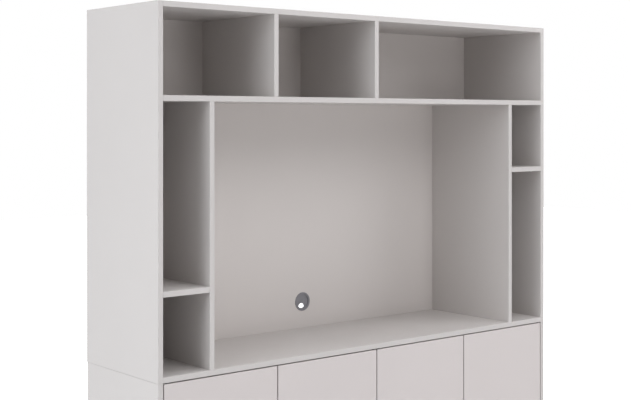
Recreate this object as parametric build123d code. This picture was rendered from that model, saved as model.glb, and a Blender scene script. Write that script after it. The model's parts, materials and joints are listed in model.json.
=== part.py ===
"""Wall unit for a television: an open hutch standing on a closed base with four doors.

Millimetres, +Z up. The origin is on the floor, under the middle of the unit's outer box.
X runs along the width, and Y runs from the front edges at -Y to the wall at +Y.
"""
import os

from build123d import *

# Whole unit. Every size from here to the first function is a driving size.
WIDTH = 1800.0
HUTCH_HEIGHT = 1170.0
HUTCH_DEPTH = 444.0
BASE_HEIGHT = 580.0
HUTCH_BACK_OVERHANG = 4.0

# Boards, panels and the clearances between them
BOARD = 18.0
EDGE_RADIUS = 1.0
BACK_PANEL = 8.0
BACK_RECESS = 18.0
GROOVE_DEPTH = 8.0
GROOVE_CLEARANCE = 0.25
LOOSE_SHELF_CLEARANCE = 0.3
OVERRUN = 5.0

# Hutch layout, clear sizes between boards
COLUMN_CLEAR = 172.0
NICHE_CLEAR_HEIGHT = 845.0
CUBBY_CLEAR_HEIGHT = 244.0

# Base layout
GLIDE_HEIGHT = 5.0
PLINTH_HEIGHT = 60.0
PLINTH_SETBACK = 52.0
REAR_PLINTH_SETBACK = 40.0
BASE_SHELF_SETBACK = 25.0

# Doors
DOOR_THICKNESS = 18.0
DOOR_GAP = 3.5
DOOR_BACK_GAP = 4.0
DOOR_EDGE_RADIUS = 1.5
DOORS = (("far_left", "left"), ("centre_left", "right"), ("centre_right", "left"), ("far_right", "right"))

# Pivot hinges, one plate above and one below each door
PIVOT_FROM_EDGE = 10.0
PIVOT_FROM_FACE = 6.0
PIVOT_PIN_RADIUS = 2.0
PIVOT_PIN_REACH = 11.0
PIVOT_PIN_CLEARANCE = 0.08
PIVOT_BUSH_WALL = 1.4
PIVOT_BUSH_SPARE = 2.0
PIVOT_BUSH_CLEARANCE = 0.05
PIVOT_PLATE = 2.0
PIVOT_EYE_RADIUS = 5.0
PIVOT_LEAF_WIDTH = 18.0
PIVOT_LEAF_LENGTH = 46.0
PIVOT_LEAF_CORNER = 4.0
PIVOT_LEAF_SETBACK = 4.0
PIVOT_RECESS_CLEARANCE = 0.25
PIVOT_SCREW_END_MARGIN = 10.0

# Push latches behind the doors' free edges
LATCH_FROM_FREE_EDGE = 40.0
LATCH_BODY_RADIUS = 7.0
LATCH_BODY_LENGTH = 62.0
LATCH_AXIS_DROP = 8.0
LATCH_BORE_CLEARANCE = 0.3
LATCH_EAR_WIDTH = 36.0
LATCH_EAR_LENGTH = 20.0
LATCH_EAR_THICKNESS = 2.5
LATCH_EAR_CORNER = 4.0
LATCH_SCREW_SPACING = 25.0
PLUNGER_RADIUS = 4.0
PLUNGER_IN_BORE = 34.0
PLUNGER_BORE_SPARE = 10.0
PLUNGER_TIP_RADIUS = 1.5
PLUNGER_DOOR_GAP = 0.3

# Knock-down fittings
CAM_RADIUS = 7.5
CAM_HEIGHT = 12.5
CAM_FROM_END = 34.0
CAM_SLOT_WIDTH = 1.6
CAM_SLOT_LENGTH = 10.0
CAM_SLOT_DEPTH = 2.5
CAM_INSET = 70.0
BOLT_HEAD_RADIUS = 3.5
BOLT_HEAD_LENGTH = 3.0
BOLT_NECK_RADIUS = 2.5
BOLT_THREAD_RADIUS = 3.5
BOLT_THREAD_LENGTH = 11.0
BOLT_BORE_RADIUS = 4.0
DOWEL_RADIUS = 4.0
DOWEL_LENGTH = 30.0
DOWEL_IN_FACE = 12.0
DOWEL_INSET = 60.0
FITTING_CLEARANCE = 0.15
HOLE_END_SPARE = 0.5

# Screws with flat countersunk heads
SCREW_RADIUS = 1.75
SCREW_HEAD_RADIUS = 3.5
SCREW_HEAD_DEPTH = 1.8
SCREW_LENGTH = 13.0

# Shelf supports: a peg in the wall and a flat pad under the shelf
PEG_RADIUS = 2.5
PEG_IN_WALL = 8.0
PEG_PAD_REACH = 9.0
PEG_PAD_WIDTH = 8.0
PEG_PAD_HEIGHT = 6.0
PEG_INSET = 50.0
PEG_ROW_PITCH = 32.0
PEG_ROW_EACH_WAY = 2

# Screws that hold the hutch down on the base
JOINING_RADIUS = 3.0
JOINING_HEAD_RADIUS = 6.0
JOINING_HEAD_HEIGHT = 3.0
JOINING_IN_HUTCH = 14.0
JOINING_FROM_SIDE = 90.0
JOINING_INSET = 110.0

# Round cable grommet in the niche's back panel
GROMMET_HEIGHT = 117.0
GROMMET_FLANGE_RADIUS = 35.0
GROMMET_FLANGE = 2.0
GROMMET_TUBE_RADIUS = 30.0
GROMMET_BORE_RADIUS = 26.5
GROMMET_DEPTH = 10.0
GROMMET_LIP_RADIUS = 0.9
GROMMET_HOLE_CLEARANCE = 0.25
CAP_RECESS = 2.5
CAP_THICKNESS = 2.5
CAP_SKIRT = 3.0
CAP_SKIRT_WALL = 1.8
CAP_CLEARANCE = 0.3
CAP_EDGE_RADIUS = 0.6
CAP_NOTCH_RADIUS = 13.5
CAP_NOTCH_OFFSET = 20.0
CAP_REST_TURN = 16.0
CAP_LEDGE = 1.4
CAP_BEAD = 0.6
CAP_BEAD_LENGTH = 1.0

# Glides under the base and brackets to the wall
GLIDE_RADIUS = 8.0
GLIDE_EDGE_RADIUS = 1.5
GLIDE_STEM_RADIUS = 2.5
GLIDE_STEM = 12.0
GLIDE_INSET = 60.0
BRACKET_WIDTH = 40.0
BRACKET_LEAF = 26.0
BRACKET_RISE = 20.0
BRACKET_STEEL = 2.0
BRACKET_BEND_RADIUS = 2.0
BRACKET_CORNER = 4.0
BRACKET_FROM_SIDE = 150.0
BRACKET_HOLE_RADIUS = 2.75
BRACKET_SCREW_SPACING = 22.0

# Places worked out from the sizes above: the front and back of the unit, and its levels
SIDE_OUT = WIDTH / 2
SIDE_IN = SIDE_OUT - BOARD
FRONT = -HUTCH_DEPTH / 2
HUTCH_REAR = FRONT + HUTCH_DEPTH
BASE_REAR = HUTCH_REAR - HUTCH_BACK_OVERHANG
HUTCH_BACK = HUTCH_REAR - BACK_RECESS - BACK_PANEL
BASE_BACK = BASE_REAR - BACK_RECESS - BACK_PANEL
SEAM = BASE_HEIGHT
TOP = BASE_HEIGHT + HUTCH_HEIGHT
NICHE_FLOOR = SEAM + BOARD
MID_UNDER = NICHE_FLOOR + NICHE_CLEAR_HEIGHT
MID_OVER = MID_UNDER + BOARD
TOP_UNDER = TOP - BOARD
LOW_SHELF_UNDER = NICHE_FLOOR + CUBBY_CLEAR_HEIGHT
HIGH_SHELF_UNDER = MID_UNDER - CUBBY_CLEAR_HEIGHT - BOARD
NICHE_SIDE = SIDE_IN - COLUMN_CLEAR - BOARD
LEFT_BAY_CLEAR = (SIDE_IN - BOARD / 2 - BOARD) / 2
LEFT_BAY_END = -SIDE_IN + LEFT_BAY_CLEAR
CARCASS_FRONT = FRONT + DOOR_THICKNESS + DOOR_BACK_GAP
BASE_FLOOR = PLINTH_HEIGHT + GLIDE_HEIGHT
BASE_INSIDE = BASE_FLOOR + BOARD
BASE_CEILING = SEAM - BOARD
BASE_SHELF_UNDER = (BASE_INSIDE + BASE_CEILING - BOARD) / 2
DOOR_BOTTOM = BASE_FLOOR + DOOR_GAP
DOOR_TOP = SEAM - DOOR_GAP
DOOR_WIDTH = (2 * SIDE_IN - (len(DOORS) + 1) * DOOR_GAP) / len(DOORS)

CENTRE_TO_MIN = (Align.CENTER, Align.CENTER, Align.MIN)

# Groups of like fittings, each written as one file of separate solids
groups = {
    "cam_locks": [],
    "cam_bolts": [],
    "dowels": [],
    "shelf_pins": [],
    "joining_screws": [],
    "pivot_plate_screws": [],
    "latch_screws": [],
    "wall_brackets": [],
    "wall_bracket_screws": [],
    "glides": [],
}


def slab(x, y, z):
    """A plain block between three pairs of planes."""
    size = Box(x[1] - x[0], y[1] - y[0], z[1] - z[0])
    return Pos((x[0] + x[1]) / 2, (y[0] + y[1]) / 2, (z[0] + z[1]) / 2) * size


def board(x, y, z, along):
    """A board whose two front edges, which run along the given axis, are slightly rounded."""
    plain = slab(x, y, z)
    front_edges = plain.edges().filter_by(along).group_by(Axis.Y)[0]
    return fillet(front_edges, EDGE_RADIUS)


def rounded_board(x, y, z, radius):
    """A board or door with all of its outer edges rounded."""
    plain = slab(x, y, z)
    return fillet(plain.edges(), radius)


def rod(start, direction, length, radius):
    """A round bar from a point, along a direction."""
    bar = Cylinder(radius, length, align=CENTRE_TO_MIN)
    return Plane(origin=start, z_dir=direction) * bar


def turned(start, direction, profile):
    """A turned piece: (length, radius) steps one after another from a point."""
    piece = None
    along = 0
    for length, radius in profile:
        origin = Vector(*start) + Vector(*direction) * along
        step = rod(origin, direction, length, radius)
        piece = step if piece is None else piece + step
        along += length
    return piece


def screw(head, direction, length=SCREW_LENGTH):
    """A countersunk screw: its flat head's centre, the way it points, and its length."""
    cone = Cone(SCREW_HEAD_RADIUS, SCREW_RADIUS, SCREW_HEAD_DEPTH, align=CENTRE_TO_MIN)
    shank = Cylinder(SCREW_RADIUS, length - SCREW_HEAD_DEPTH, align=CENTRE_TO_MIN)
    return Plane(origin=head, z_dir=direction) * (cone + Pos(0, 0, SCREW_HEAD_DEPTH) * shank)


def screw_hole(head, direction, length=SCREW_LENGTH):
    """The hole that a screw fills, wider than the screw by the fitting clearance all round."""
    wide = SCREW_HEAD_RADIUS + FITTING_CLEARANCE
    narrow = SCREW_RADIUS + FITTING_CLEARANCE
    cone = Cone(wide, narrow, SCREW_HEAD_DEPTH, align=CENTRE_TO_MIN)
    shank = Cylinder(narrow, length + HOLE_END_SPARE, align=CENTRE_TO_MIN)
    mouth = Pos(0, 0, -OVERRUN) * Cylinder(wide, OVERRUN, align=CENTRE_TO_MIN)
    return Plane(origin=head, z_dir=direction) * (cone + shank + mouth)


def cam_joint(lying, standing, end, side, y, z, face):
    """Join a lying board's end to a standing board with a cam lock and its bolt.

    end is the X of the joint, side is +1 where the standing board is on the +X side,
    z is the lying board's middle, and face is +1 where the lock is let into its upper face.
    """
    outward = (side, 0, 0)
    inward = (-side, 0, 0)
    cam_x = end - side * CAM_FROM_END
    face_z = z + face * BOARD / 2
    down = (0, 0, -face)
    pocket = rod((cam_x, y, face_z + face * OVERRUN), down, CAM_HEIGHT + HOLE_END_SPARE + OVERRUN,
                 CAM_RADIUS + FITTING_CLEARANCE)
    bolt_bore = rod((end + side * OVERRUN, y, z), inward, CAM_FROM_END + OVERRUN, BOLT_BORE_RADIUS)
    thread_hole = rod((end - side * OVERRUN, y, z), outward, BOLT_THREAD_LENGTH + HOLE_END_SPARE + OVERRUN,
                      BOLT_THREAD_RADIUS + FITTING_CLEARANCE)
    cam = rod((cam_x, y, face_z), down, CAM_HEIGHT, CAM_RADIUS)
    driver_slot = slab((cam_x - CAM_SLOT_LENGTH / 2, cam_x + CAM_SLOT_LENGTH / 2),
                       (y - CAM_SLOT_WIDTH / 2, y + CAM_SLOT_WIDTH / 2),
                       (face_z - CAM_SLOT_DEPTH, face_z + CAM_SLOT_DEPTH))
    head_way = rod((cam_x, y, z), outward, CAM_FROM_END, BOLT_BORE_RADIUS)
    groups["cam_locks"].append(cam - driver_slot - head_way)
    neck = CAM_FROM_END - BOLT_HEAD_LENGTH
    groups["cam_bolts"].append(turned((cam_x, y, z), outward, [
        (BOLT_HEAD_LENGTH, BOLT_HEAD_RADIUS),
        (neck, BOLT_NECK_RADIUS),
        (BOLT_THREAD_LENGTH, BOLT_THREAD_RADIUS),
    ]))
    return lying - pocket - bolt_bore, standing - thread_hole


def dowel_joint(ended, faced, point, direction):
    """Join a board's end to another board's face with a dowel.

    point lies on the joint, and direction points from the end into the face.
    """
    back = (-direction[0], -direction[1], -direction[2])
    hole = DOWEL_RADIUS + FITTING_CLEARANCE
    start = Vector(*point) + Vector(*back) * (DOWEL_LENGTH - DOWEL_IN_FACE)
    groups["dowels"].append(rod(start, direction, DOWEL_LENGTH, DOWEL_RADIUS))
    end_hole = rod(point, back, DOWEL_LENGTH - DOWEL_IN_FACE + HOLE_END_SPARE, hole)
    face_hole = rod(point, direction, DOWEL_IN_FACE + HOLE_END_SPARE, hole)
    return ended - end_hole, faced - face_hole


def support(wall_x, side, y, shelf_under):
    """One shelf support: side is +1 where the wall is on the +X side of the shelf."""
    peg = rod((wall_x, y, shelf_under - PEG_PAD_HEIGHT / 2), (side, 0, 0), PEG_IN_WALL, PEG_RADIUS)
    reach = sorted((wall_x, wall_x - side * PEG_PAD_REACH))
    width = (y - PEG_PAD_WIDTH / 2, y + PEG_PAD_WIDTH / 2)
    pad = slab(reach, width, (shelf_under - PEG_PAD_HEIGHT, shelf_under))
    groups["shelf_pins"].append(peg + pad)


def peg_hole(wall_x, side, y, z):
    """A blind hole for one shelf support's peg."""
    return rod((wall_x, y, z), (side, 0, 0), PEG_IN_WALL + HOLE_END_SPARE, PEG_RADIUS + FITTING_CLEARANCE)


def support_places(front, back):
    """The two Y places of a shelf's supports, front and back."""
    return front + PEG_INSET, back - PEG_INSET


def back_groove(x, z, back):
    """The groove that holds a back panel's edge."""
    return slab(x, (back - GROOVE_CLEARANCE, back + BACK_PANEL + GROOVE_CLEARANCE), z)


def hutch():
    """The open upper unit, as a dictionary of its boards by name."""
    depth = (FRONT, HUTCH_REAR)
    inner_depth = (FRONT, HUTCH_BACK)
    across = (-SIDE_IN, SIDE_IN)
    sides = {}
    for name, side in (("left", -1), ("right", 1)):
        outer_x = sorted((side * SIDE_IN, side * SIDE_OUT))
        outer = rounded_board(outer_x, depth, (SEAM, TOP), EDGE_RADIUS)
        groove_x = sorted((side * (SIDE_IN - OVERRUN), side * (SIDE_IN + GROOVE_DEPTH)))
        sides[name] = outer - back_groove(groove_x, (SEAM - OVERRUN, TOP + OVERRUN), HUTCH_BACK)

    top = board(across, depth, (TOP_UNDER, TOP), Axis.X)
    top -= back_groove(across, (TOP_UNDER - OVERRUN, TOP_UNDER + GROOVE_DEPTH), HUTCH_BACK)
    bottom = board(across, depth, (SEAM, NICHE_FLOOR), Axis.X)
    bottom -= back_groove(across, (NICHE_FLOOR - GROOVE_DEPTH, NICHE_FLOOR + OVERRUN), HUTCH_BACK)
    mid = board(across, inner_depth, (MID_UNDER, MID_OVER), Axis.X)

    cam_places = (FRONT + CAM_INSET, HUTCH_BACK - CAM_INSET)
    top_z = (TOP_UNDER + TOP) / 2
    mid_z = (MID_UNDER + MID_OVER) / 2
    bottom_z = (SEAM + NICHE_FLOOR) / 2
    for name, side in (("left", -1), ("right", 1)):
        end = side * SIDE_IN
        for y in cam_places:
            top, sides[name] = cam_joint(top, sides[name], end, side, y, top_z, 1)
            mid, sides[name] = cam_joint(mid, sides[name], end, side, y, mid_z, 1)
            bottom, sides[name] = cam_joint(bottom, sides[name], end, side, y, bottom_z, -1)

    dowel_places = (FRONT + DOWEL_INSET, HUTCH_BACK - DOWEL_INSET)
    tall = {}
    for name, side in (("left", -1), ("right", 1)):
        edges = sorted((side * NICHE_SIDE, side * (NICHE_SIDE + BOARD)))
        tall[name] = board(edges, inner_depth, (NICHE_FLOOR, MID_UNDER), Axis.Z)
        for y in dowel_places:
            x = side * (NICHE_SIDE + BOARD / 2)
            tall[name], mid = dowel_joint(tall[name], mid, (x, y, MID_UNDER), (0, 0, 1))
            tall[name], bottom = dowel_joint(tall[name], bottom, (x, y, NICHE_FLOOR), (0, 0, -1))

    short = {}
    for name, x in (("left", LEFT_BAY_END + BOARD / 2), ("right", 0)):
        short[name] = board((x - BOARD / 2, x + BOARD / 2), inner_depth, (MID_OVER, TOP_UNDER), Axis.Z)
        for y in dowel_places:
            short[name], top = dowel_joint(short[name], top, (x, y, TOP_UNDER), (0, 0, 1))
            short[name], mid = dowel_joint(short[name], mid, (x, y, MID_OVER), (0, 0, -1))

    shelves = {}
    shelf_back = HUTCH_BACK - LOOSE_SHELF_CLEARANCE
    for name, side, under in (("left", -1, LOW_SHELF_UNDER), ("right", 1, HIGH_SHELF_UNDER)):
        near = side * (NICHE_SIDE + BOARD)
        far = side * SIDE_IN
        edges = sorted((near + side * LOOSE_SHELF_CLEARANCE, far - side * LOOSE_SHELF_CLEARANCE))
        shelves[name] = board(edges, (FRONT, shelf_back), (under, under + BOARD), Axis.X)
        for y in support_places(FRONT, HUTCH_BACK):
            peg_z = under - PEG_PAD_HEIGHT / 2
            support(far, side, y, under)
            support(near, -side, y, under)
            sides[name] -= peg_hole(far, side, y, peg_z)
            tall[name] -= peg_hole(near, -side, y, peg_z)

    return {
        "hutch_side_left": sides["left"],
        "hutch_side_right": sides["right"],
        "hutch_top": top,
        "hutch_mid_board": mid,
        "hutch_bottom_board": bottom,
        "niche_divider_left": tall["left"],
        "niche_divider_right": tall["right"],
        "top_divider_left": short["left"],
        "top_divider_right": short["right"],
        "column_shelf_left": shelves["left"],
        "column_shelf_right": shelves["right"],
    }


def hutch_backs():
    """The two back panels, which meet behind the mid board, the lower one holed for the grommet."""
    in_groove = GROOVE_DEPTH - GROOVE_CLEARANCE
    x = (-SIDE_IN - in_groove, SIDE_IN + in_groove)
    y = (HUTCH_BACK, HUTCH_BACK + BACK_PANEL)
    meet = (MID_UNDER + MID_OVER) / 2
    upper = slab(x, y, (meet, TOP_UNDER + in_groove))
    lower = slab(x, y, (NICHE_FLOOR - in_groove, meet))
    hole = rod((0, HUTCH_BACK - OVERRUN, SEAM + GROMMET_HEIGHT), (0, 1, 0), BACK_PANEL + 2 * OVERRUN,
               GROMMET_TUBE_RADIUS + GROMMET_HOLE_CLEARANCE)
    return {"hutch_back_upper": upper, "hutch_back_lower": lower - hole}


def grommet():
    """The sleeve, a flanged tube with a ledge inside, and the notched cap that turns in front of the ledge.

    Both are turned about the hole's axis: a section's X is the radius, and its Y is the depth
    behind the flange's face. At rest the cap is turned a little from having its notch at the bottom.
    """
    tube_end = GROMMET_FLANGE + GROMMET_DEPTH
    cap_end = CAP_RECESS + CAP_THICKNESS + CAP_SKIRT
    ledge_at = cap_end + CAP_CLEARANCE
    bead_end = CAP_RECESS - CAP_CLEARANCE
    bead_start = bead_end - CAP_BEAD_LENGTH
    sleeve_section = make_face(Polyline(
        (GROMMET_BORE_RADIUS, 0),
        (GROMMET_FLANGE_RADIUS, 0),
        (GROMMET_FLANGE_RADIUS, GROMMET_FLANGE),
        (GROMMET_TUBE_RADIUS, GROMMET_FLANGE),
        (GROMMET_TUBE_RADIUS, tube_end),
        (GROMMET_BORE_RADIUS - CAP_LEDGE, tube_end),
        (GROMMET_BORE_RADIUS - CAP_LEDGE, ledge_at),
        (GROMMET_BORE_RADIUS, ledge_at),
        (GROMMET_BORE_RADIUS, bead_end),
        (GROMMET_BORE_RADIUS - CAP_BEAD, bead_end),
        (GROMMET_BORE_RADIUS - CAP_BEAD, bead_start),
        (GROMMET_BORE_RADIUS, bead_start),
        close=True,
    ))
    rim = sleeve_section.vertices().group_by(Axis.Y)[0]
    sleeve = revolve(fillet(rim, GROMMET_LIP_RADIUS), Axis.Y)

    cap_radius = GROMMET_BORE_RADIUS - CAP_CLEARANCE
    disc_end = CAP_RECESS + CAP_THICKNESS
    cap_section = make_face(Polyline(
        (0, CAP_RECESS),
        (cap_radius, CAP_RECESS),
        (cap_radius, cap_end),
        (cap_radius - CAP_SKIRT_WALL, cap_end),
        (cap_radius - CAP_SKIRT_WALL, disc_end),
        (0, disc_end),
        close=True,
    ))
    edge = cap_section.vertices().group_by(Axis.Y)[0].sort_by(Axis.X)[-1]
    cap = revolve(fillet(edge, CAP_EDGE_RADIUS), Axis.Y)
    notch_start = (0, CAP_RECESS - OVERRUN, -CAP_NOTCH_OFFSET)
    cap -= rod(notch_start, (0, 1, 0), cap_end + 2 * OVERRUN, CAP_NOTCH_RADIUS)

    place = Pos(0, HUTCH_BACK - GROMMET_FLANGE, SEAM + GROMMET_HEIGHT)
    return {"grommet_sleeve": place * sleeve, "grommet_cap": place * Rot(0, CAP_REST_TURN, 0) * cap}


def base():
    """The closed lower unit without its doors, as a dictionary of its boards by name."""
    depth = (CARCASS_FRONT, BASE_REAR)
    inner_depth = (CARCASS_FRONT, BASE_BACK)
    across = (-SIDE_IN, SIDE_IN)
    sides = {}
    for name, side in (("left", -1), ("right", 1)):
        outer_x = sorted((side * SIDE_IN, side * SIDE_OUT))
        outer = rounded_board(outer_x, (FRONT, BASE_REAR), (GLIDE_HEIGHT, SEAM), EDGE_RADIUS)
        groove_x = sorted((side * (SIDE_IN - OVERRUN), side * (SIDE_IN + GROOVE_DEPTH)))
        sides[name] = outer - back_groove(groove_x, (GLIDE_HEIGHT - OVERRUN, SEAM + OVERRUN), BASE_BACK)

    top = board(across, depth, (BASE_CEILING, SEAM), Axis.X)
    top -= back_groove(across, (BASE_CEILING - OVERRUN, BASE_CEILING + GROOVE_DEPTH), BASE_BACK)
    bottom = board(across, depth, (BASE_FLOOR, BASE_INSIDE), Axis.X)
    bottom -= back_groove(across, (BASE_INSIDE - GROOVE_DEPTH, BASE_INSIDE + OVERRUN), BASE_BACK)
    partition = board((-BOARD / 2, BOARD / 2), inner_depth, (BASE_INSIDE, BASE_CEILING), Axis.Z)
    in_groove = GROOVE_DEPTH - GROOVE_CLEARANCE
    back = slab((-SIDE_IN - in_groove, SIDE_IN + in_groove), (BASE_BACK, BASE_BACK + BACK_PANEL),
                (BASE_INSIDE - in_groove, BASE_CEILING + in_groove))

    front_plinth_y = (FRONT + PLINTH_SETBACK, FRONT + PLINTH_SETBACK + BOARD)
    rear_plinth_y = (BASE_BACK - REAR_PLINTH_SETBACK - BOARD, BASE_BACK - REAR_PLINTH_SETBACK)
    plinths = {
        "front": board(across, front_plinth_y, (GLIDE_HEIGHT, BASE_FLOOR), Axis.X),
        "rear": board(across, rear_plinth_y, (GLIDE_HEIGHT, BASE_FLOOR), Axis.X),
    }

    top_z = (BASE_CEILING + SEAM) / 2
    bottom_z = (BASE_FLOOR + BASE_INSIDE) / 2
    for name, side in (("left", -1), ("right", 1)):
        end = side * SIDE_IN
        for y in (CARCASS_FRONT + CAM_INSET, BASE_BACK - CAM_INSET):
            top, sides[name] = cam_joint(top, sides[name], end, side, y, top_z, 1)
            bottom, sides[name] = cam_joint(bottom, sides[name], end, side, y, bottom_z, -1)
        for plinth, y in (("front", front_plinth_y), ("rear", rear_plinth_y)):
            point = (side * SIDE_IN, (y[0] + y[1]) / 2, (GLIDE_HEIGHT + BASE_FLOOR) / 2)
            plinths[plinth], sides[name] = dowel_joint(plinths[plinth], sides[name], point, (side, 0, 0))
    for y in (CARCASS_FRONT + DOWEL_INSET, BASE_BACK - DOWEL_INSET):
        partition, top = dowel_joint(partition, top, (0, y, BASE_CEILING), (0, 0, 1))
        partition, bottom = dowel_joint(partition, bottom, (0, y, BASE_INSIDE), (0, 0, -1))

    shelves = {}
    shelf_front = CARCASS_FRONT + BASE_SHELF_SETBACK
    for name, side in (("left", -1), ("right", 1)):
        near = side * BOARD / 2
        far = side * SIDE_IN
        edges = sorted((near + side * LOOSE_SHELF_CLEARANCE, far - side * LOOSE_SHELF_CLEARANCE))
        shelves[name] = board(edges, (shelf_front, BASE_BACK - LOOSE_SHELF_CLEARANCE),
                              (BASE_SHELF_UNDER, BASE_SHELF_UNDER + BOARD), Axis.X)
        for y in support_places(shelf_front, BASE_BACK):
            support(far, side, y, BASE_SHELF_UNDER)
            support(near, -side, y, BASE_SHELF_UNDER)
            for step in range(-PEG_ROW_EACH_WAY, PEG_ROW_EACH_WAY + 1):
                peg_z = BASE_SHELF_UNDER - PEG_PAD_HEIGHT / 2 + step * PEG_ROW_PITCH
                sides[name] -= peg_hole(far, side, y, peg_z)
                partition -= peg_hole(near, -side, y, peg_z)

    return {
        "base_side_left": sides["left"],
        "base_side_right": sides["right"],
        "base_top": top,
        "base_bottom": bottom,
        "base_partition": partition,
        "base_back": back,
        "base_shelf_left": shelves["left"],
        "base_shelf_right": shelves["right"],
        "plinth_front": plinths["front"],
        "plinth_rear": plinths["rear"],
    }


def plate_outline(pivot_x):
    """A pivot plate seen from above: a round eye, a neck over the door's edge, and a leaf for two screws."""
    pivot_y = FRONT + PIVOT_FROM_FACE
    leaf_start = CARCASS_FRONT + PIVOT_LEAF_SETBACK
    neck_length = leaf_start + PIVOT_LEAF_CORNER * 2 - pivot_y
    eye = Pos(pivot_x, pivot_y) * Circle(PIVOT_EYE_RADIUS)
    neck = Pos(pivot_x, pivot_y + neck_length / 2) * Rectangle(2 * PIVOT_EYE_RADIUS, neck_length)
    leaf = RectangleRounded(PIVOT_LEAF_WIDTH, PIVOT_LEAF_LENGTH, PIVOT_LEAF_CORNER)
    return eye + neck + Pos(pivot_x, leaf_start + PIVOT_LEAF_LENGTH / 2) * leaf


def pivot_hinge(door, carrier, pivot_x, door_edge, up):
    """One pivot of a door: its plate and pin, its bush, and the recess and bores that take them.

    door_edge is the Z of the door's edge, and up is +1 above the door and -1 below it.
    Returns the door, the carrying board, the plate and the bush.
    """
    pivot_y = FRONT + PIVOT_FROM_FACE
    into_door = (0, 0, -up)
    near = door_edge + up * (DOOR_GAP - PIVOT_PLATE) / 2
    far = near + up * PIVOT_PLATE
    outline = plate_outline(pivot_x)
    plate = Pos(0, 0, min(near, far)) * extrude(outline, PIVOT_PLATE)
    plate += rod((pivot_x, pivot_y, near), into_door, PIVOT_PIN_REACH, PIVOT_PIN_RADIUS)
    recess_outline = offset(outline, PIVOT_RECESS_CLEARANCE)
    carrier -= Pos(0, 0, min(near, near + up * OVERRUN)) * extrude(recess_outline, OVERRUN)
    leaf_start = CARCASS_FRONT + PIVOT_LEAF_SETBACK
    for y in (leaf_start + PIVOT_SCREW_END_MARGIN, leaf_start + PIVOT_LEAF_LENGTH - PIVOT_SCREW_END_MARGIN):
        head = (pivot_x, y, far)
        groups["pivot_plate_screws"].append(screw(head, into_door))
        hole = screw_hole(head, into_door)
        plate -= hole
        carrier -= hole

    bore = PIVOT_PIN_RADIUS + PIVOT_PIN_CLEARANCE
    bush_radius = bore + PIVOT_BUSH_WALL
    bush_length = PIVOT_PIN_REACH + PIVOT_BUSH_SPARE
    edge_point = (pivot_x, pivot_y, door_edge)
    bush = rod(edge_point, into_door, bush_length, bush_radius)
    bush -= rod(edge_point, into_door, bush_length, bore)
    door -= rod(edge_point, into_door, bush_length + HOLE_END_SPARE, bush_radius + PIVOT_BUSH_CLEARANCE)
    return door, carrier, plate, bush


def push_latch(latch_x, carrier):
    """A push latch's housing and plunger under the base's top, and that board with its screw holes."""
    axis_z = BASE_CEILING - LATCH_AXIS_DROP
    section = Pos(latch_x, axis_z) * Circle(LATCH_BODY_RADIUS)
    section += Pos(latch_x, axis_z + LATCH_AXIS_DROP / 2) * Rectangle(2 * LATCH_BODY_RADIUS, LATCH_AXIS_DROP)
    face = Plane(origin=(0, CARCASS_FRONT, 0), x_dir=(1, 0, 0), z_dir=(0, -1, 0))
    body = extrude(face * section, -LATCH_BODY_LENGTH)
    ear_y = CARCASS_FRONT + LATCH_BODY_LENGTH - LATCH_EAR_LENGTH / 2
    ear = RectangleRounded(LATCH_EAR_WIDTH, LATCH_EAR_LENGTH, LATCH_EAR_CORNER)
    body += Pos(latch_x, ear_y, BASE_CEILING - LATCH_EAR_THICKNESS) * extrude(ear, LATCH_EAR_THICKNESS)
    body -= rod((latch_x, CARCASS_FRONT, axis_z), (0, 1, 0), PLUNGER_IN_BORE + PLUNGER_BORE_SPARE,
                PLUNGER_RADIUS + LATCH_BORE_CLEARANCE)
    for x in (latch_x - LATCH_SCREW_SPACING / 2, latch_x + LATCH_SCREW_SPACING / 2):
        head = (x, ear_y, BASE_CEILING - LATCH_EAR_THICKNESS)
        groups["latch_screws"].append(screw(head, (0, 0, 1)))
        hole = screw_hole(head, (0, 0, 1))
        body -= hole
        carrier -= hole

    tip = FRONT + DOOR_THICKNESS + PLUNGER_DOOR_GAP
    plunger = rod((latch_x, tip, axis_z), (0, 1, 0), CARCASS_FRONT + PLUNGER_IN_BORE - tip, PLUNGER_RADIUS)
    tip_edge = plunger.edges().filter_by(GeomType.CIRCLE).group_by(Axis.Y)[0]
    return body, fillet(tip_edge, PLUNGER_TIP_RADIUS), carrier


def doors(boards):
    """Hang the four doors on the base's top and bottom boards, each with its pivots and its latch."""
    pieces = {}
    for place, (name, hung) in enumerate(DOORS):
        left = -SIDE_IN + DOOR_GAP + place * (DOOR_WIDTH + DOOR_GAP)
        right = left + DOOR_WIDTH
        pivot_x = left + PIVOT_FROM_EDGE if hung == "left" else right - PIVOT_FROM_EDGE
        latch_x = right - LATCH_FROM_FREE_EDGE if hung == "left" else left + LATCH_FROM_FREE_EDGE
        door_depth = (FRONT, FRONT + DOOR_THICKNESS)
        door = rounded_board((left, right), door_depth, (DOOR_BOTTOM, DOOR_TOP), DOOR_EDGE_RADIUS)
        over = boards["base_top"]
        under = boards["base_bottom"]
        door, over, upper_plate, upper_bush = pivot_hinge(door, over, pivot_x, DOOR_TOP, 1)
        door, under, lower_plate, lower_bush = pivot_hinge(door, under, pivot_x, DOOR_BOTTOM, -1)
        housing, plunger, over = push_latch(latch_x, over)
        boards["base_top"] = over
        boards["base_bottom"] = under
        pieces[f"door_{name}"] = door
        pieces[f"pivot_plates_{name}"] = Compound(children=[upper_plate, lower_plate])
        pieces[f"pivot_bushes_{name}"] = Compound(children=[upper_bush, lower_bush])
        pieces[f"latch_housing_{name}"] = housing
        pieces[f"latch_plunger_{name}"] = plunger
    return pieces


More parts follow.
